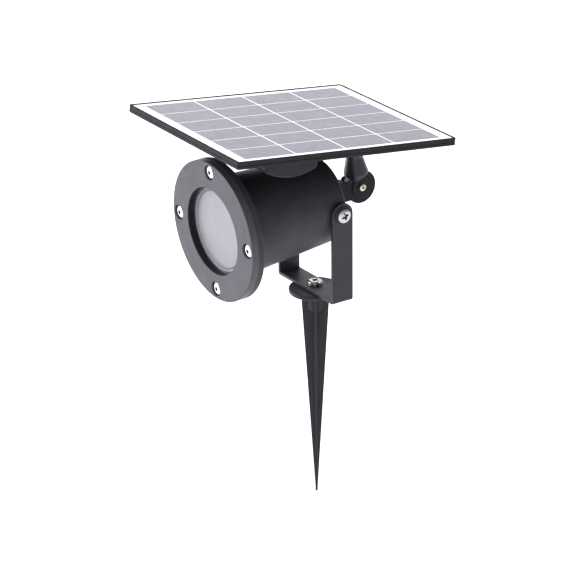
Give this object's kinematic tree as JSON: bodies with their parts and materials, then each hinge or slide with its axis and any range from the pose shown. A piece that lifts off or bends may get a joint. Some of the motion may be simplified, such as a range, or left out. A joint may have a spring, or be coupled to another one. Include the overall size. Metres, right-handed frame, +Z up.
{
  "type": "light projector stake",
  "caption": "Solar garden pattern projector on a ground spike: a tilting barrel lamp in a U-bracket carries a solar panel with a battery housing on a knuckle.",
  "frame": {"origin": "on the spike's axis, on the underside of the spike's disc, where the ground's surface is", "axes": "+Z up along the spike, -Y the way the lamp shines, X along the tilt axes"},
  "size_m": [0.124, 0.1594, 0.2706],
  "materials": {
    "black_plastic": "satin, lightly textured moulding",
    "black_metal": "satin black powder coat",
    "grey_metal": "satin dark grey powder coat",
    "chrome_steel": "bright zinc and nickel plate",
    "brass_plate": "bright",
    "steel": "satin",
    "seal_rubber": "matte",
    "frosted_glass": "frosted",
    "clear_lens": "polished",
    "pale_plastic": "matte",
    "aluminium": "satin",
    "board_green": "solder mask",
    "board_white": "white solder mask",
    "component_black": "gloss",
    "led_package": "clear dome over white package",
    "wheel_black": "matte film",
    "backsheet_white": "semi-gloss",
    "solar_blue": "anti-reflection coat",
    "cover_clear": "clear resin sheet",
    "cell_wrap": "shrink wrap"
  },
  "bodies": {
    "spike": {"ground_spike": "black_plastic", "base_washer": "black_metal", "base_bolt": "chrome_steel"},
    "bracket": {"u_bracket": "grey_metal"},
    "projector": {"barrel_housing": "black_metal", "front_bezel": "grey_metal", "bezel_gasket": "seal_rubber", "glass_seal": "seal_rubber", "front_glass": "frosted_glass", "bezel_screws": "chrome_steel", "friction_washers": "pale_plastic", "pivot_washers": "black_metal", "pivot_screws": "chrome_steel", "lens_carrier": "pale_plastic", "objective_lenses": "clear_lens", "optics_pillars": "steel", "pillar_screws": "steel", "condenser_holder": "component_black", "condenser_lenses": "clear_lens", "led_board": "board_white", "led_emitters": "led_package", "heat_sink": "aluminium", "heat_sink_screws": "steel", "board_standoffs": "steel", "pattern_motor": "steel", "driver_board": "board_green", "driver_components": "component_black", "hinge_arm": "black_plastic", "arm_gasket": "seal_rubber", "arm_screws": "steel", "knuckle_screw": "brass_plate", "knuckle_nut": "steel", "knuckle_washers": "pale_plastic"},
    "pattern_wheel": {"pattern_wheel": "wheel_black", "wheel_shaft": "steel"},
    "panel": {"panel_stem": "black_plastic", "stem_screws": "steel", "panel_frame": "black_plastic", "panel_backsheet": "backsheet_white", "solar_cells": "solar_blue", "cover_sheet": "cover_clear", "battery_housing": "black_plastic", "housing_gasket": "seal_rubber", "housing_screws": "steel", "battery_cell": "cell_wrap", "battery_contacts": "steel", "charge_board": "board_green", "tact_switch": "component_black", "button_bezel": "black_plastic"},
    "button": {"power_button": "seal_rubber"}
  },
  "joints": [
    {"name": "bracket_pan", "type": "hinge", "parent": "spike", "child": "bracket", "pos_m": [0, 0, 0], "axis": [0, 0, 1], "continuous": true},
    {"name": "projector_tilt", "type": "hinge", "parent": "bracket", "child": "projector", "pos_m": [0, 0, 0.062], "axis": [1, 0, 0], "range_deg": [-60, 36]},
    {"name": "wheel_spin", "type": "hinge", "parent": "projector", "child": "pattern_wheel", "pos_m": [0, 0, 0.062], "axis": [0, -0.9992, -0.0401], "continuous": true},
    {"name": "panel_tilt", "type": "hinge", "parent": "projector", "child": "panel", "pos_m": [0, 0.03281, 0.06502], "axis": [1, 0, 0], "range_deg": [-60, 4]},
    {"name": "button_press", "type": "slide", "parent": "panel", "child": "button", "axis": [0, 0.9929, -0.1193], "range_m": [0, 0.0008], "stiffness_N_per_m": 900, "springref_m": -0.0008}
  ]
}
